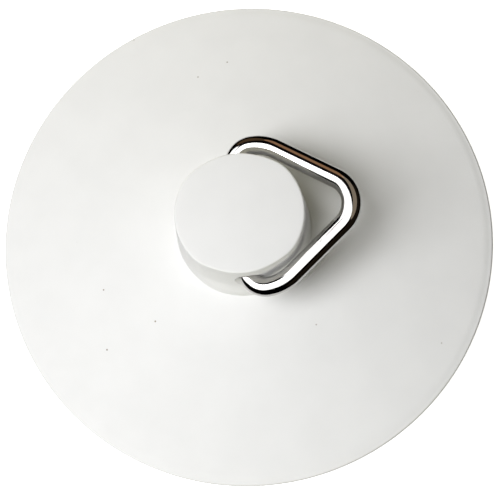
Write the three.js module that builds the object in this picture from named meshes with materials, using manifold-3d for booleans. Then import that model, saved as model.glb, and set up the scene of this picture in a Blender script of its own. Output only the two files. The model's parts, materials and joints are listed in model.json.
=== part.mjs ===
// A sink plug: a soft one-piece moulded body with a domed flange, a tapered skirt and a boss,
// and a bent-wire pull ring that turns in the boss's cross hole.
// Units are millimetres and +Z is up. The origin is the middle of the skirt's bottom face,
// the ring's hinge runs along Y, and the ring lies towards +X.
import * as THREE from "three";
import { mergeVertices } from "three/addons/utils/BufferGeometryUtils.js";
import Module from "manifold-3d";

const wasm = await Module();
wasm.setup();

// Flange and dome
const FLANGE_R = 25;            // a plug for a 1 3/4 in (45 mm) waste
const FLANGE_EDGE_H = 1.2;      // height of the flange's outer edge
const EDGE_UPPER_ROUND = 0.3;
const EDGE_LOWER_ROUND = 0.5;
const DOME_RISE = 4.28;         // from the flange's upper edge to the foot of the boss
const DOME_BULGE = 0.22;        // 0 is a straight cone, more bends the slope down to the edge

// Skirt, the part that seals in the waste
const SKIRT_H = 10;
const SKIRT_TOP_R = 23;
const SKIRT_BOTTOM_R = 21;
const SKIRT_LIP_ROUND = 0.4;
const SKIRT_WALL = 2.6;

// Hollow underside
const HOLLOW_DRAFT = 0.8;       // how much the hollow narrows from its mouth to its fillet
const HOLLOW_FILLET = 3;
const CEILING_THICK = 2.7;
const CORE_R = 2.3;             // blind core hole that keeps the boss from sinking as it cools
const CORE_TOP_Z = 16.2;
const CORE_ROUND = 0.6;

// Boss
const BOSS_FOOT_R = 6.69;
const BOSS_TOP_R = 6.2;
const BOSS_H = 7.31;            // from its foot to the edge of its top
const BOSS_TOP_ROUND = 0.2;
const BOSS_CROWN = 0.33;        // how far the middle of the top stands above its edge
const PINCH = 0.36;             // how far the ring squeezes the boss in on each side
const PINCH_FROM_Y = 3.6;
const PINCH_FULL_Y = 6;
const PINCH_FADE = 0.5;         // the squeeze starts this far above the boss's foot

// Pull ring: a rounded triangle of wire, its base in the cross hole
const WIRE_R = 0.95;
const HINGE_BELOW_TOP = 2.69;   // hinge axis below the edge of the boss's top
const RING_HALF_W = 7;          // widest half width, on the wire's centre-line
const BASE_CORNER_R = 1.8;
const SHOULDER_R = 4.305;       // the wider bend that follows the base corner
const ARM_LEAN = THREE.MathUtils.degToRad(36.14);
const APEX_R = 2.8;
const APEX_SHARP_V = 12.79;     // where the two arms would meet, from the hinge axis
const WIRE_GAP = 0.4;           // between the two wire ends, inside the boss
const RING_RAISED = THREE.MathUtils.degToRad(10.5);

// Cross hole in the boss
const HOLE_CLEARANCE = 0.06;
const HOLE_CUT_LENGTH = 9;

// Fineness of the round shapes
const BODY_SIDES = 56;
const HOLE_SIDES = 28;
const WIRE_SIDES = 12;
const WIRE_STEPS = 96;

// Heights worked out from the above
const FLANGE_TOP_Z = SKIRT_H + FLANGE_EDGE_H;
const BOSS_FOOT_Z = FLANGE_TOP_Z + DOME_RISE;
const BOSS_TOP_Z = BOSS_FOOT_Z + BOSS_H;
const HINGE_Z = BOSS_TOP_Z - HINGE_BELOW_TOP;

const HALF_TURN = Math.PI;
const QUARTER_TURN = Math.PI / 2;

// Points along an arc in a radius-height plane, both ends included.
function arcPoints(centreR, centreZ, radius, fromAngle, toAngle, steps) {
  const points = [];
  for (let i = 0; i <= steps; i += 1) {
    const angle = fromAngle + ((toAngle - fromAngle) * i) / steps;
    points.push(new THREE.Vector2(centreR + radius * Math.cos(angle), centreZ + radius * Math.sin(angle)));
  }
  return points;
}

// Height of the dome's upper face at a radius.
function domeZ(radius) {
  const s = (FLANGE_R - radius) / (FLANGE_R - BOSS_FOOT_R);
  return FLANGE_TOP_Z + DOME_RISE * (s + DOME_BULGE * s * (1 - s));
}

// Radius of the boss's tapered side at a height.
function bossSideR(z) {
  return BOSS_FOOT_R + ((BOSS_TOP_R - BOSS_FOOT_R) * (z - BOSS_FOOT_Z)) / BOSS_H;
}

// The hollow underside, from the axis to the mouth.
function undersidePoints() {
  const mouthR = SKIRT_BOTTOM_R - SKIRT_WALL;
  const wallTopR = mouthR - HOLLOW_DRAFT;
  const filletR = wallTopR - HOLLOW_FILLET;
  const points = [new THREE.Vector2(0, CORE_TOP_Z)];
  points.push(...arcPoints(CORE_R - CORE_ROUND, CORE_TOP_Z - CORE_ROUND, CORE_ROUND, QUARTER_TURN, 0, 3));
  const ceilingSteps = 4;
  for (let i = 0; i <= ceilingSteps; i += 1) {
    const radius = CORE_R + ((filletR - CORE_R) * i) / ceilingSteps;
    points.push(new THREE.Vector2(radius, domeZ(Math.max(radius, BOSS_FOOT_R)) - CEILING_THICK));
  }
  const filletZ = domeZ(filletR) - CEILING_THICK - HOLLOW_FILLET;
  const filletPoints = arcPoints(filletR, filletZ, HOLLOW_FILLET, QUARTER_TURN, 0, 5);
  points.push(...filletPoints.slice(1));
  points.push(new THREE.Vector2(mouthR, SKIRT_LIP_ROUND));
  points.push(new THREE.Vector2(mouthR + SKIRT_LIP_ROUND, 0));
  return points;
}

// The skirt and the flange's underside and edge, from the mouth outwards and up.
function skirtPoints() {
  const points = [new THREE.Vector2(SKIRT_BOTTOM_R - SKIRT_LIP_ROUND, 0)];
  points.push(new THREE.Vector2(SKIRT_BOTTOM_R, SKIRT_LIP_ROUND));
  points.push(new THREE.Vector2(SKIRT_TOP_R, SKIRT_H));
  const lowerR = FLANGE_R - EDGE_LOWER_ROUND;
  points.push(...arcPoints(lowerR, SKIRT_H + EDGE_LOWER_ROUND, EDGE_LOWER_ROUND, -QUARTER_TURN, 0, 3));
  const upperR = FLANGE_R - EDGE_UPPER_ROUND;
  const upperZ = FLANGE_TOP_Z - EDGE_UPPER_ROUND;
  points.push(...arcPoints(upperR, upperZ, EDGE_UPPER_ROUND, 0, QUARTER_TURN, 3));
  return points;
}

// The dome and the boss, from the flange's edge in to the axis.
function topPoints() {
  const points = [];
  const domeSteps = 6;
  const domeStartR = FLANGE_R - 2 * EDGE_UPPER_ROUND;
  for (let i = 0; i <= domeSteps; i += 1) {
    const radius = domeStartR + ((BOSS_FOOT_R - domeStartR) * i) / domeSteps;
    points.push(new THREE.Vector2(radius, domeZ(radius)));
  }
  const sideSteps = 6;
  const roundZ = BOSS_TOP_Z - BOSS_TOP_ROUND;
  for (let i = 1; i < sideSteps; i += 1) {
    const z = BOSS_FOOT_Z + ((roundZ - BOSS_FOOT_Z) * i) / sideSteps;
    points.push(new THREE.Vector2(bossSideR(z), z));
  }
  points.push(...arcPoints(BOSS_TOP_R - BOSS_TOP_ROUND, roundZ, BOSS_TOP_ROUND, 0, QUARTER_TURN, 4));
  const crownSteps = 3;
  const flatR = BOSS_TOP_R - BOSS_TOP_ROUND;
  for (let i = 1; i <= crownSteps; i += 1) {
    const share = 1 - i / crownSteps;
    points.push(new THREE.Vector2(flatR * share, BOSS_TOP_Z + BOSS_CROWN * (1 - share * share)));
  }
  return points;
}

// Moves the boss's two sides in where the ring bears on them.
function pinchBoss(geometry) {
  const position = geometry.attributes.position;
  const fadeEndZ = HINGE_Z - BASE_CORNER_R;
  for (let i = 0; i < position.count; i += 1) {
    const y = position.getY(i);
    const byHeight = THREE.MathUtils.smoothstep(position.getZ(i), BOSS_FOOT_Z + PINCH_FADE, fadeEndZ);
    const bySide = THREE.MathUtils.smoothstep(Math.abs(y), PINCH_FROM_Y, PINCH_FULL_Y);
    position.setY(i, y - Math.sign(y) * PINCH * byHeight * bySide);
  }
  return geometry;
}

// A solid for joins and cuts, from a closed geometry.
function toManifold(geometry) {
  const bare = geometry.clone();
  bare.deleteAttribute("normal");
  bare.deleteAttribute("uv");
  const merged = mergeVertices(bare, 1e-4);
  const vertProperties = new Float32Array(merged.attributes.position.array);
  const triVerts = new Uint32Array(merged.index.array);
  return new wasm.Manifold(new wasm.Mesh({ numProp: 3, vertProperties, triVerts }));
}

function fromManifold(solid) {
  const mesh = solid.getMesh();
  const geometry = new THREE.BufferGeometry();
  geometry.setAttribute("position", new THREE.BufferAttribute(new Float32Array(mesh.vertProperties), 3));
  geometry.setIndex(new THREE.BufferAttribute(new Uint32Array(mesh.triVerts), 1));
  geometry.computeVertexNormals();
  return geometry;
}

// The shape cut out of the boss: a hole along Y that the wire turns in, with a rounded mouth at each
// end that follows the inside of the ring's base corner.
function crossHoleGeometry() {
  const mouthR = BASE_CORNER_R - WIRE_R - HOLE_CLEARANCE;
  const mouthY = RING_HALF_W - BASE_CORNER_R;
  const half = arcPoints(BASE_CORNER_R, mouthY, mouthR, HALF_TURN, QUARTER_TURN, 6);
  half.push(new THREE.Vector2(BASE_CORNER_R, HOLE_CUT_LENGTH));
  half.push(new THREE.Vector2(0, HOLE_CUT_LENGTH));
  const mirrored = half.map((point) => new THREE.Vector2(point.x, -point.y)).reverse();
  const geometry = new THREE.LatheGeometry([...mirrored, ...half], HOLE_SIDES);
  geometry.translate(0, 0, HINGE_Z);
  return geometry;
}

function plugBodyGeometry() {
  const outline = [...undersidePoints(), ...skirtPoints(), ...topPoints()];
  const geometry = new THREE.LatheGeometry(outline, BODY_SIDES);
  geometry.rotateX(QUARTER_TURN);
  const body = toManifold(pinchBoss(geometry));
  return fromManifold(body.subtract(toManifold(crossHoleGeometry())));
}

// The ring's centre-line in its own plane: X is the distance from the hinge axis, Y runs along it.
class RingCurve extends THREE.Curve {
  constructor() {
    super();
    const baseU = RING_HALF_W - BASE_CORNER_R;
    const shoulderU = RING_HALF_W - SHOULDER_R;
    const apexV = APEX_SHARP_V - APEX_R / Math.sin(ARM_LEAN);
    this.path = new THREE.Path();
    this.path.moveTo(WIRE_GAP / 2, 0);
    this.path.lineTo(baseU, 0);
    this.path.absarc(baseU, BASE_CORNER_R, BASE_CORNER_R, -QUARTER_TURN, 0, false);
    this.path.absarc(shoulderU, BASE_CORNER_R, SHOULDER_R, 0, ARM_LEAN, false);
    this.path.absarc(0, apexV, APEX_R, ARM_LEAN, HALF_TURN - ARM_LEAN, false);
    this.path.absarc(-shoulderU, BASE_CORNER_R, SHOULDER_R, HALF_TURN - ARM_LEAN, HALF_TURN, false);
    this.path.absarc(-baseU, BASE_CORNER_R, BASE_CORNER_R, HALF_TURN, HALF_TURN + QUARTER_TURN, false);
    this.path.lineTo(-WIRE_GAP / 2, 0);
  }

  getPoint(t, target = new THREE.Vector3()) {
    const point = this.path.getPointAt(t);
    return target.set(point.y, point.x, 0);
  }
}

function pullRingGeometry() {
  const section = new THREE.Shape(arcPoints(0, 0, WIRE_R, 0, 2 * HALF_TURN, WIRE_SIDES).slice(1));
  const options = { steps: WIRE_STEPS, extrudePath: new RingCurve() };
  return new THREE.ExtrudeGeometry(section, options);
}

const whiteRubber = new THREE.MeshStandardMaterial({ color: 0xe9eae6, roughness: 0.5, metalness: 0 });
const chromeWire = new THREE.MeshStandardMaterial({ color: 0xd6d8da, roughness: 0.1, metalness: 1 });

const plugBody = new THREE.Mesh(plugBodyGeometry(), whiteRubber);
plugBody.name = "plug_body";

const pullRing = new THREE.Mesh(pullRingGeometry(), chromeWire);
pullRing.name = "pull_ring";
pullRing.position.z = HINGE_Z;
pullRing.rotation.y = -RING_RAISED;

const plug = new THREE.Group();
plug.add(plugBody, pullRing);

export default plug;
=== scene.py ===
"""A white rubber sink plug with a chromed wire pull ring, on a white table under a studio softbox.

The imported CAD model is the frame. Both of its nodes are replaced by finer pieces of the same size:
the moulded plug body and the bent-wire ring. Lengths are in metres, +Z is up, and the ring's hinge
runs along Y with the ring towards +X.
"""

import json
import math

import bmesh
import bpy
from mathutils import Matrix, Quaternion, Vector


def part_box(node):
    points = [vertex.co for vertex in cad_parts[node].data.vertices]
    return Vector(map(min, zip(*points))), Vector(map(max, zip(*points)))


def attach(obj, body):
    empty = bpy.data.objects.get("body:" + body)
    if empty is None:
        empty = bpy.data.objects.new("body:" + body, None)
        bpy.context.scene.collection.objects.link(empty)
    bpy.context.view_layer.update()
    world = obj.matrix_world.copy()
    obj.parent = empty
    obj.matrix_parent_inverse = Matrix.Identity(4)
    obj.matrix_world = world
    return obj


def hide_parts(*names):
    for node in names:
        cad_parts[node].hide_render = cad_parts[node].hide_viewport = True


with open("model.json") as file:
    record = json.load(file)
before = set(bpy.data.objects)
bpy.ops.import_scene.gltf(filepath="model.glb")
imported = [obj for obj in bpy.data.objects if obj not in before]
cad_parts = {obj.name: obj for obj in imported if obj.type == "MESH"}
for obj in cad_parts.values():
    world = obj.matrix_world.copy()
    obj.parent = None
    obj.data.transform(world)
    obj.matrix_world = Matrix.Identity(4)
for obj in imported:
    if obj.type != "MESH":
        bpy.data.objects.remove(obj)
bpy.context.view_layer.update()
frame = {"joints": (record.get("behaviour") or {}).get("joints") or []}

MM = 0.001

# What the frame gives
_, BODY_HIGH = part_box("plug_body")
HINGE = Vector(frame["joints"][0]["pos_m"])
FLANGE_R = BODY_HIGH.x
CREST_Z = BODY_HIGH.z

# The plug body, as designed
FLANGE_EDGE_H = 1.2 * MM
EDGE_UPPER_ROUND = 0.3 * MM
EDGE_LOWER_ROUND = 0.5 * MM
DOME_RISE = 4.28 * MM
DOME_BULGE = 0.22
SKIRT_H = 10 * MM
SKIRT_TOP_R = 23 * MM
SKIRT_BOTTOM_R = 21 * MM
SKIRT_LIP_ROUND = 0.4 * MM
SKIRT_WALL = 2.6 * MM
HOLLOW_DRAFT = 0.8 * MM
HOLLOW_FILLET = 3 * MM
CEILING_THICK = 2.7 * MM
CORE_R = 2.3 * MM
CORE_TOP_Z = 16.2 * MM
CORE_ROUND = 0.6 * MM
CORE_RIM_ROUND = 0.3 * MM
BOSS_FOOT_R = 6.69 * MM
BOSS_TOP_R = 6.2 * MM
BOSS_FOOT_FILLET = 0.12 * MM
BOSS_TOP_ROUND = 0.2 * MM
BOSS_CROWN = 0.33 * MM
FLANGE_TOP_Z = SKIRT_H + FLANGE_EDGE_H
BOSS_FOOT_Z = FLANGE_TOP_Z + DOME_RISE
BOSS_TOP_Z = CREST_Z - BOSS_CROWN
PINCH = 0.36 * MM
PINCH_FROM_Y = 3.6 * MM
PINCH_FULL_Y = 6 * MM
PINCH_FADE = 0.5 * MM

# The wire ring
WIRE_R = 0.95 * MM
RING_HALF_W = 7 * MM
BASE_CORNER_R = 1.8 * MM
SHOULDER_R = 4.305 * MM
ARM_LEAN = math.radians(36.14)
APEX_R = 2.8 * MM
APEX_SHARP_V = 12.79 * MM
WIRE_GAP = 0.4 * MM
RING_RAISED = math.radians(10.5)
HOLE_CLEARANCE = 0.06 * MM

# Mesh fineness
BODY_SIDES = 288
HOLE_SIDES = 96
WIRE_SIDES = 48
FINE = 0.16 * MM
COARSE = 0.5 * MM
WIRE_STEP = 0.12 * MM
SMOOTH_UP_TO = math.radians(32)
SAME_POINT = 0.001 * MM
QUARTER_TURN = math.pi / 2

# Colours, as linear red, green, blue and alpha
RUBBER_DARKER = (0.638, 0.64, 0.639, 1)
RUBBER_LIGHTER = (0.654, 0.656, 0.655, 1)
DUST_BROWN = (0.22, 0.18, 0.14, 1)
CHROME_GREY = (0.57, 0.56, 0.55, 1)
FLOOR_WHITE = (0.9, 0.9, 0.9, 1)
GLOW_WHITE = (1, 1, 1, 1)
ROOM_WARM = (1, 0.9, 0.6, 1)

# Surface detail: each noise scale is in features per metre
CLOUDS_SCALE = 260
SATIN_SCALE = 900
GRAIN_SCALE = 6000
GRAIN_HEIGHT = 0.01 * MM
SWELLS_SCALE = 300
SWELLS_HEIGHT = 0.02 * MM
DUST_SPACING = 3.1 * MM
DUST_R = 0.085 * MM
DUST_SOFTNESS = 0.3
POLISH_SCALE = 1500
RIPPLE_SCALE = 700
RIPPLE_HEIGHT = 0.02 * MM

# Sockets of Blender's mix node when it mixes colours
MIX_FACTOR = 0
MIX_FIRST = 6
MIX_SECOND = 7
MIX_RESULT = 2

# The camera
CAMERA_ELEVATION = math.radians(77.5)
CAMERA_AZIMUTH = math.radians(7.9)
CAMERA_ROLL = math.radians(-15.46)
CAMERA_DISTANCE = 150 * MM
CAMERA_AIM = (0.116 * MM, -0.892 * MM, FLANGE_TOP_Z)
SENSOR_WIDTH_IN_MM = 36
LENS_IN_MM = 105.78
CLIP_NEAR = 1 * MM
CLIP_FAR = 20

# The studio
FLOOR_HALF_SIZE = 3
FLOOR_DROP = 0.05 * MM
LIGHT_DISTANCE = 0.6
SHARE_OF_SQUARE = {"RECTANGLE": 1, "ELLIPSE": math.pi / 4}


# ---------------------------------------------------------------- shapes


def arc(centre, radius, start, end, step):
    """Points along an arc from one angle to another, both ends included."""
    count = max(3, math.ceil(radius * abs(end - start) / step))
    angles = [start + (end - start) * i / count for i in range(count + 1)]
    return [(centre[0] + radius * math.cos(a), centre[1] + radius * math.sin(a)) for a in angles]


def line(start, end, step):
    """Points along a straight line, both ends included."""
    count = max(1, math.ceil(math.dist(start, end) / step))
    return [
        (start[0] + (end[0] - start[0]) * i / count, start[1] + (end[1] - start[1]) * i / count)
        for i in range(count + 1)
    ]


def smoothstep(value, low, high):
    """0 up to low, 1 from high on, and a smooth rise between them."""
    t = min(max((value - low) / (high - low), 0), 1)
    return t * t * (3 - 2 * t)


def dome_z(radius):
    """Height of the dome's upper face at a radius."""
    s = (FLANGE_R - radius) / (FLANGE_R - BOSS_FOOT_R)
    return FLANGE_TOP_Z + DOME_RISE * (s + DOME_BULGE * s * (1 - s))


def ceiling_z(radius):
    """Height of the hollow's ceiling at a radius."""
    return dome_z(max(radius, BOSS_FOOT_R)) - CEILING_THICK


def underside_outline():
    """From the top of the core hole out and down to the hollow's mouth, as (radius, height)."""
    mouth_r = SKIRT_BOTTOM_R - SKIRT_WALL
    fillet_r = mouth_r - HOLLOW_DRAFT - HOLLOW_FILLET
    fillet_z = ceiling_z(fillet_r) - HOLLOW_FILLET
    rim_r = CORE_R + CORE_RIM_ROUND
    rim_z = ceiling_z(0) + CORE_RIM_ROUND
    core_centre = (CORE_R - CORE_ROUND, CORE_TOP_Z - CORE_ROUND)
    lip_centre = (mouth_r + SKIRT_LIP_ROUND, SKIRT_LIP_ROUND)
    points = line((0, CORE_TOP_Z), (CORE_R - CORE_ROUND, CORE_TOP_Z), COARSE)
    points += arc(core_centre, CORE_ROUND, QUARTER_TURN, 0, FINE)
    points += line((CORE_R, CORE_TOP_Z - CORE_ROUND), (CORE_R, rim_z), COARSE)
    points += arc((rim_r, rim_z), CORE_RIM_ROUND, math.pi, math.pi + QUARTER_TURN, FINE)
    ceiling = line((rim_r, 0), (fillet_r, 0), COARSE)
    points += [(r, ceiling_z(r)) for r, _ in ceiling]
    points += arc((fillet_r, fillet_z), HOLLOW_FILLET, QUARTER_TURN, 0, FINE)
    points += line((fillet_r + HOLLOW_FILLET, fillet_z), (mouth_r, SKIRT_LIP_ROUND), COARSE)
    points += arc(lip_centre, SKIRT_LIP_ROUND, math.pi, 3 * QUARTER_TURN, FINE)
    return points


def skirt_outline():
    """From the skirt's foot up its outside and round the flange's edge."""
    foot_r = SKIRT_BOTTOM_R - SKIRT_LIP_ROUND
    lower = (FLANGE_R - EDGE_LOWER_ROUND, SKIRT_H + EDGE_LOWER_ROUND)
    upper = (FLANGE_R - EDGE_UPPER_ROUND, FLANGE_TOP_Z - EDGE_UPPER_ROUND)
    points = arc((foot_r, SKIRT_LIP_ROUND), SKIRT_LIP_ROUND, -QUARTER_TURN, 0, FINE)
    points += line((SKIRT_BOTTOM_R, SKIRT_LIP_ROUND), (SKIRT_TOP_R, SKIRT_H), COARSE)
    points += line((SKIRT_TOP_R, SKIRT_H), (lower[0], SKIRT_H), COARSE)
    points += arc(lower, EDGE_LOWER_ROUND, -QUARTER_TURN, 0, FINE / 2)
    points += arc(upper, EDGE_UPPER_ROUND, 0, QUARTER_TURN, FINE / 2)
    return points


def boss_outline():
    """From the flange's edge in over the dome and up the boss to the axis."""
    dome_start = FLANGE_R - 2 * EDGE_UPPER_ROUND
    fillet_r = BOSS_FOOT_R + BOSS_FOOT_FILLET
    fillet_top = dome_z(fillet_r) + BOSS_FOOT_FILLET
    round_z = BOSS_TOP_Z - BOSS_TOP_ROUND
    flat_r = BOSS_TOP_R - BOSS_TOP_ROUND
    points = [(r, dome_z(r)) for r, _ in line((dome_start, 0), (fillet_r, 0), COARSE)]
    points += arc((fillet_r, fillet_top), BOSS_FOOT_FILLET, 3 * QUARTER_TURN, math.pi, FINE / 2)
    points += line((BOSS_FOOT_R, fillet_top), (BOSS_TOP_R, round_z), FINE)
    points += arc((flat_r, round_z), BOSS_TOP_ROUND, 0, QUARTER_TURN, FINE / 2)
    for r, _ in line((flat_r, 0), (0, 0), COARSE):
        points.append((r, BOSS_TOP_Z + BOSS_CROWN * (1 - (r / flat_r) ** 2)))
    return points


def without_repeats(points):
    """The same points with each one that lies on the one before it left out."""
    kept = [points[0]]
    for point in points[1:]:
        if math.dist(point, kept[-1]) > SAME_POINT:
            kept.append(point)
    return kept


def object_from(name, bm):
    """A new object in the scene with the built mesh."""
    mesh = bpy.data.meshes.new(name)
    bm.to_mesh(mesh)
    bm.free()
    made = bpy.data.objects.new(name, mesh)
    bpy.context.scene.collection.objects.link(made)
    return made


def revolve(name, outline, sides):
    """A closed mesh object: the outline turned round Z. The outline starts and ends on the axis."""
    bm = bmesh.new()
    angles = [2 * math.pi * i / sides for i in range(sides)]
    rings = []
    for radius, z in outline:
        if radius < SAME_POINT:
            rings.append([bm.verts.new((0, 0, z))])
            continue
        rings.append([bm.verts.new((radius * math.cos(a), radius * math.sin(a), z)) for a in angles])
    for low, high in zip(rings, rings[1:]):
        for i in range(sides):
            j = (i + 1) % sides
            lower = [low[i % len(low)], low[j % len(low)]]
            upper = [high[j % len(high)], high[i % len(high)]]
            bm.faces.new(list(dict.fromkeys(lower + upper)))
    bmesh.ops.recalc_face_normals(bm, faces=bm.faces)
    return object_from(name, bm)


def pinch_boss(mesh):
    """Moves the boss's two sides in where the ring bears on them."""
    fade_end = HINGE.z - BASE_CORNER_R
    for vertex in mesh.vertices:
        by_height = smoothstep(vertex.co.z, BOSS_FOOT_Z + PINCH_FADE, fade_end)
        by_side = smoothstep(abs(vertex.co.y), PINCH_FROM_Y, PINCH_FULL_Y)
        vertex.co.y -= math.copysign(PINCH * by_height * by_side, vertex.co.y)


def hole_cutter():
    """The cross hole's shape along Y, with a rounded mouth at each end."""
    mouth_r = BASE_CORNER_R - WIRE_R - HOLE_CLEARANCE
    mouth_y = RING_HALF_W - BASE_CORNER_R
    end_y = RING_HALF_W + WIRE_R
    half = arc((BASE_CORNER_R, mouth_y), mouth_r, math.pi, QUARTER_TURN, FINE / 3)
    half += [(BASE_CORNER_R, end_y), (0, end_y)]
    mirrored = [(r, -y) for r, y in reversed(half)]
    cutter = revolve("hole_cutter", without_repeats(mirrored + half), HOLE_SIDES)
    cutter.data.transform(Matrix.Translation(HINGE) @ Matrix.Rotation(QUARTER_TURN, 4, "X"))
    return cutter


def cut(piece, cutter):
    """Takes the cutter's shape out of the piece, and removes the cutter."""
    modifier = piece.modifiers.new("cut", "BOOLEAN")
    modifier.operation = "DIFFERENCE"
    modifier.solver = "EXACT"
    modifier.object = cutter
    evaluated = piece.evaluated_get(bpy.context.evaluated_depsgraph_get())
    result = bpy.data.meshes.new_from_object(evaluated)
    piece.modifiers.clear()
    piece.data = result
    bpy.data.objects.remove(cutter)


def smooth(piece):
    """Smooth shading, with the edges that are really sharp left sharp."""
    for face in piece.data.polygons:
        face.use_smooth = True
    piece.data.set_sharp_from_angle(angle=SMOOTH_UP_TO)


def make_plug_body():
    """The moulding: one turned outline, squeezed at the boss, with the cross hole cut through."""
    outline = without_repeats(underside_outline() + skirt_outline() + boss_outline())
    body = revolve("moulded_plug", outline, BODY_SIDES)
    pinch_boss(body.data)
    cut(body, hole_cutter())
    smooth(body)
    return body


def ring_centre_line():
    """The wire's centre-line as (place along the hinge, distance from the hinge)."""
    base_u = RING_HALF_W - BASE_CORNER_R
    shoulder_u = RING_HALF_W - SHOULDER_R
    apex_v = APEX_SHARP_V - APEX_R / math.sin(ARM_LEAN)
    half = line((WIRE_GAP / 2, 0), (base_u, 0), WIRE_STEP)
    half += arc((base_u, BASE_CORNER_R), BASE_CORNER_R, -QUARTER_TURN, 0, WIRE_STEP)
    half += arc((shoulder_u, BASE_CORNER_R), SHOULDER_R, 0, ARM_LEAN, WIRE_STEP)
    apex = arc((0, apex_v), APEX_R, ARM_LEAN, math.pi - ARM_LEAN, WIRE_STEP)
    half += line(half[-1], apex[0], WIRE_STEP)
    mirrored = [(-u, v) for u, v in reversed(half)]
    return without_repeats(half + apex + mirrored)


def make_pull_ring():
    """Round wire swept along the centre-line, closed by flat cut ends."""
    bm = bmesh.new()
    path = [Vector((v, u, 0)) for u, v in ring_centre_line()]
    angles = [2 * math.pi * k / WIRE_SIDES for k in range(WIRE_SIDES)]
    upright = Vector((0, 0, 1))
    rings = []
    for i, point in enumerate(path):
        along = (path[min(i + 1, len(path) - 1)] - path[max(i - 1, 0)]).normalized()
        across = upright.cross(along)
        offsets = [across * math.cos(a) + upright * math.sin(a) for a in angles]
        rings.append([bm.verts.new(point + offset * WIRE_R) for offset in offsets])
    for low, high in zip(rings, rings[1:]):
        for i in range(WIRE_SIDES):
            j = (i + 1) % WIRE_SIDES
            bm.faces.new((low[i], low[j], high[j], high[i]))
    bm.faces.new(rings[0])
    bm.faces.new(rings[-1])
    bmesh.ops.recalc_face_normals(bm, faces=bm.faces)
    ring = object_from("wire_ring", bm)
    ring.data.transform(Matrix.Translation(HINGE) @ Matrix.Rotation(-RING_RAISED, 4, "Y"))
    smooth(ring)
    return ring


# ---------------------------------------------------------------- materials


def new_material(name):
    """A material, its node tree and its Principled shader."""
    material = bpy.data.materials.new(name)
    material.use_nodes = True
    tree = material.node_tree
    return material, tree, tree.nodes["Principled BSDF"]


def object_point(tree):
    """The point on the piece in metres, before any pose."""
    return tree.nodes.new("ShaderNodeTexCoord").outputs["Object"]


def noise(tree, scale, detail):
    """Soft noise from 0 to 1 through the solid."""
    node = tree.nodes.new("ShaderNodeTexNoise")
    node.inputs["Scale"].default_value = scale
    node.inputs["Detail"].default_value = detail
    tree.links.new(object_point(tree), node.inputs["Vector"])
    return node.outputs["Fac"]


def map_range(tree, value, low, high, to_low, to_high):
    """The value with low to high carried over to to_low to to_high, and held there outside."""
    node = tree.nodes.new("ShaderNodeMapRange")
    node.inputs["From Min"].default_value = low
    node.inputs["From Max"].default_value = high
    node.inputs["To Min"].default_value = to_low
    node.inputs["To Max"].default_value = to_high
    tree.links.new(value, node.inputs["Value"])
    return node.outputs["Result"]


def bump(tree, height, distance, strength, under=None):
    """The surface direction with a height added, on top of the bump under it if one is given."""
    node = tree.nodes.new("ShaderNodeBump")
    node.inputs["Distance"].default_value = distance
    node.inputs["Strength"].default_value = strength
    tree.links.new(height, node.inputs["Height"])
    if under is not None:
        tree.links.new(under, node.inputs["Normal"])
    return node.outputs["Normal"]


def specks(tree, spacing, radius):
    """1 in round specks of this radius scattered through the solid, 0 elsewhere."""
    node = tree.nodes.new("ShaderNodeTexVoronoi")
    node.inputs["Scale"].default_value = 1 / spacing
    tree.links.new(object_point(tree), node.inputs["Vector"])
    inside = (1 - DUST_SOFTNESS) * radius / spacing
    outside = (1 + DUST_SOFTNESS) * radius / spacing
    return map_range(tree, node.outputs["Distance"], inside, outside, to_low=1, to_high=0)


def mix_colours(tree, factor, first, second):
    """The first colour where the factor is 0, the second where it is 1."""
    node = tree.nodes.new("ShaderNodeMix")
    node.data_type = "RGBA"
    tree.links.new(factor, node.inputs[MIX_FACTOR])
    for socket, colour in ((node.inputs[MIX_FIRST], first), (node.inputs[MIX_SECOND], second)):
        if isinstance(colour, tuple):
            socket.default_value = colour
        else:
            tree.links.new(colour, socket)
    return node.outputs[MIX_RESULT]


def white_rubber():
    """Smooth moulded white rubber: satin, faintly uneven, with a few specks of dust in it."""
    material, tree, shader = new_material("white_rubber")
    shader.inputs["Specular IOR Level"].default_value = 0.3
    shader.inputs["Subsurface Weight"].default_value = 0.05
    shader.inputs["Subsurface Radius"].default_value = (1.0, 0.9, 0.8)
    shader.inputs["Subsurface Scale"].default_value = 0.8 * MM
    clouds = noise(tree, CLOUDS_SCALE, detail=5)
    cloudy = map_range(tree, clouds, low=0.35, high=0.65, to_low=0, to_high=1)
    plain = mix_colours(tree, cloudy, RUBBER_DARKER, RUBBER_LIGHTER)
    dusty = mix_colours(tree, specks(tree, DUST_SPACING, DUST_R), plain, DUST_BROWN)
    tree.links.new(dusty, shader.inputs["Base Color"])
    satin = noise(tree, SATIN_SCALE, detail=3)
    roughness = map_range(tree, satin, low=0.3, high=0.7, to_low=0.55, to_high=0.65)
    tree.links.new(roughness, shader.inputs["Roughness"])
    grain = noise(tree, GRAIN_SCALE, detail=2)
    grainy = bump(tree, grain, GRAIN_HEIGHT, strength=0.35)
    swells = noise(tree, SWELLS_SCALE, detail=3)
    uneven = bump(tree, swells, SWELLS_HEIGHT, strength=0.2, under=grainy)
    tree.links.new(uneven, shader.inputs["Normal"])
    return material


def bright_chrome():
    """Bright plating on bent wire, faintly wavy where the wire was drawn and bent."""
    material, tree, shader = new_material("bright_chrome")
    shader.inputs["Base Color"].default_value = CHROME_GREY
    shader.inputs["Metallic"].default_value = 1
    polish = noise(tree, POLISH_SCALE, detail=3)
    roughness = map_range(tree, polish, low=0.3, high=0.7, to_low=0.04, to_high=0.09)
    tree.links.new(roughness, shader.inputs["Roughness"])
    ripple = noise(tree, RIPPLE_SCALE, detail=2)
    wavy = bump(tree, ripple, RIPPLE_HEIGHT, strength=0.4)
    tree.links.new(wavy, shader.inputs["Normal"])
    return material


# ---------------------------------------------------------------- studio


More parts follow.
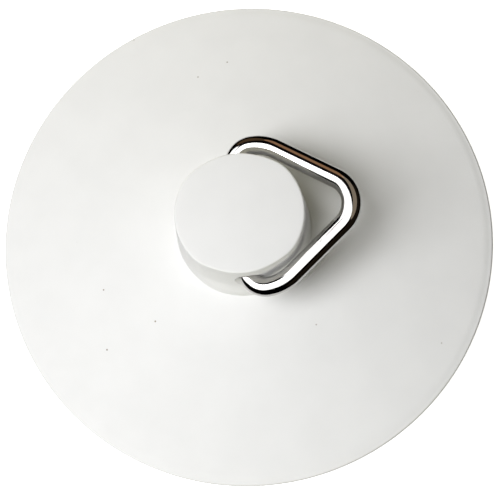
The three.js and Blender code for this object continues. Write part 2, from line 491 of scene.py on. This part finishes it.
def from_angles(azimuth, tilt):
    """A direction: azimuth counter-clockwise from +X, tilt from straight up, in degrees."""
    a, t = math.radians(azimuth), math.radians(tilt)
    return Vector((math.cos(a) * math.sin(t), math.sin(a) * math.sin(t), math.cos(t)))


def softbox(name, azimuth, tilt, width, depth, brightness, colour, spin=0, shape="RECTANGLE"):
    """A soft light facing the plug: its width runs round the plug, its depth up over it.

    Angles are in degrees. Brightness is how bright the light's face looks, whatever its size.
    """
    light = bpy.data.lights.new(name, "AREA")
    light.shape = shape
    light.size = width
    light.size_y = depth
    light.energy = brightness * math.pi * width * depth * SHARE_OF_SQUARE[shape]
    light.color = colour
    lamp = bpy.data.objects.new(name, light)
    bpy.context.scene.collection.objects.link(lamp)
    towards = from_angles(azimuth, tilt)
    lamp.location = Vector((0, 0, BOSS_FOOT_Z)) + towards * LIGHT_DISTANCE
    lamp.rotation_mode = "QUATERNION"
    turn = Quaternion((0, 0, 1), math.radians(spin))
    lamp.rotation_quaternion = towards.to_track_quat("Z", "Y") @ turn
    return lamp


def reflector(mirror, name, azimuth, tilt, width, depth, brightness, colour, spin=0):
    """An oval card that lights only the pieces of the mirror collection, not the rubber."""
    card = softbox(name, azimuth, tilt, width, depth, brightness, colour, spin, "ELLIPSE")
    card.light_linking.receiver_collection = mirror


def make_camera():
    """Almost overhead and turned a little, with the whole flange in view."""
    back = Vector((0, -math.cos(CAMERA_ELEVATION), math.sin(CAMERA_ELEVATION)))
    back.rotate(Matrix.Rotation(CAMERA_AZIMUTH, 3, "Z"))
    right = Vector((0, 0, 1)).cross(back).normalized()
    up = back.cross(right)
    rolled_right = right * math.cos(CAMERA_ROLL) + up * math.sin(CAMERA_ROLL)
    rolled_up = up * math.cos(CAMERA_ROLL) - right * math.sin(CAMERA_ROLL)
    aim = Vector(CAMERA_AIM)
    aim.rotate(Matrix.Rotation(CAMERA_AZIMUTH, 3, "Z"))
    data = bpy.data.cameras.new("camera")
    data.sensor_width = SENSOR_WIDTH_IN_MM
    data.lens = LENS_IN_MM
    data.clip_start = CLIP_NEAR
    data.clip_end = CLIP_FAR
    camera = bpy.data.objects.new("camera", data)
    bpy.context.scene.collection.objects.link(camera)
    turn = Matrix((rolled_right, rolled_up, back)).transposed().to_4x4()
    camera.matrix_world = Matrix.Translation(aim + back * CAMERA_DISTANCE) @ turn
    bpy.context.scene.camera = camera


def make_floor():
    """A plain white table top. It lights nothing, and the chrome doesn't mirror it."""
    bm = bmesh.new()
    bmesh.ops.create_grid(bm, x_segments=1, y_segments=1, size=FLOOR_HALF_SIZE)
    floor = object_from("floor", bm)
    floor.location.z = -FLOOR_DROP
    material, _, shader = new_material("floor_white")
    shader.inputs["Base Color"].default_value = FLOOR_WHITE
    shader.inputs["Roughness"].default_value = 0.9
    shader.inputs["Emission Color"].default_value = GLOW_WHITE
    shader.inputs["Emission Strength"].default_value = 0.85
    floor.data.materials.append(material)
    floor.visible_glossy = False
    floor.visible_diffuse = False


def make_world():
    """An even, warm and very weak room light, which the chrome doesn't mirror."""
    world = bpy.data.worlds.new("room")
    bpy.context.scene.world = world
    world.use_nodes = True
    background = world.node_tree.nodes["Background"]
    background.inputs["Color"].default_value = ROOM_WARM
    background.inputs["Strength"].default_value = 0.04
    world.cycles_visibility.glossy = False


def make_rubber_lights():
    """The key light, and two low warm fills on either side that the chrome doesn't mirror."""
    softbox(
        "key",
        azimuth=196,
        tilt=30,
        width=0.34,
        depth=0.46,
        brightness=10.2,
        colour=(0.99, 0.99, 1),
    )
    near_fill = softbox(
        "near_fill",
        azimuth=270,
        tilt=80,
        width=0.45,
        depth=0.2,
        brightness=6,
        colour=(1, 1, 0.88),
    )
    far_fill = softbox(
        "far_fill",
        azimuth=90,
        tilt=80,
        width=0.45,
        depth=0.2,
        brightness=6.6,
        colour=(1, 0.97, 0.76),
    )
    near_fill.visible_glossy = False
    far_fill.visible_glossy = False


def make_chrome_cards(chrome_piece):
    """What the chrome mirrors: a bright ceiling and wall, and a brown room on the far side."""
    mirror = bpy.data.collections.new("mirror")
    mirror.objects.link(chrome_piece)
    reflector(
        mirror,
        "overhead",
        azimuth=216,
        tilt=25,
        width=1.2,
        depth=0.75,
        brightness=2.1,
        colour=(1, 1, 1),
        spin=44,
    )
    reflector(
        mirror,
        "left_wall",
        azimuth=165,
        tilt=59,
        width=0.64,
        depth=0.74,
        brightness=2.1,
        colour=(1, 1, 1),
    )
    reflector(
        mirror,
        "copper_card",
        azimuth=80,
        tilt=54,
        width=0.26,
        depth=0.34,
        brightness=0.38,
        colour=(1, 0.55, 0.3),
    )
    reflector(
        mirror,
        "dark_brown_card",
        azimuth=108,
        tilt=68,
        width=0.36,
        depth=0.44,
        brightness=0.09,
        colour=(1, 0.6, 0.32),
    )
    reflector(
        mirror,
        "tan_card",
        azimuth=16,
        tilt=43,
        width=1,
        depth=0.5,
        brightness=0.32,
        colour=(1, 0.82, 0.62),
    )
    reflector(
        mirror,
        "dark_room",
        azimuth=-20,
        tilt=78,
        width=1.8,
        depth=0.7,
        brightness=0.014,
        colour=(1, 0.7, 0.45),
    )


make_camera()
make_floor()
make_world()
bpy.context.scene.view_settings.view_transform = "Standard"

plug_body = make_plug_body()
plug_body.data.materials.append(white_rubber())
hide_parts("plug_body")
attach(plug_body, "plug")

pull_ring = make_pull_ring()
pull_ring.data.materials.append(bright_chrome())
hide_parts("pull_ring")
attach(pull_ring, "ring")

make_rubber_lights()
make_chrome_cards(pull_ring)
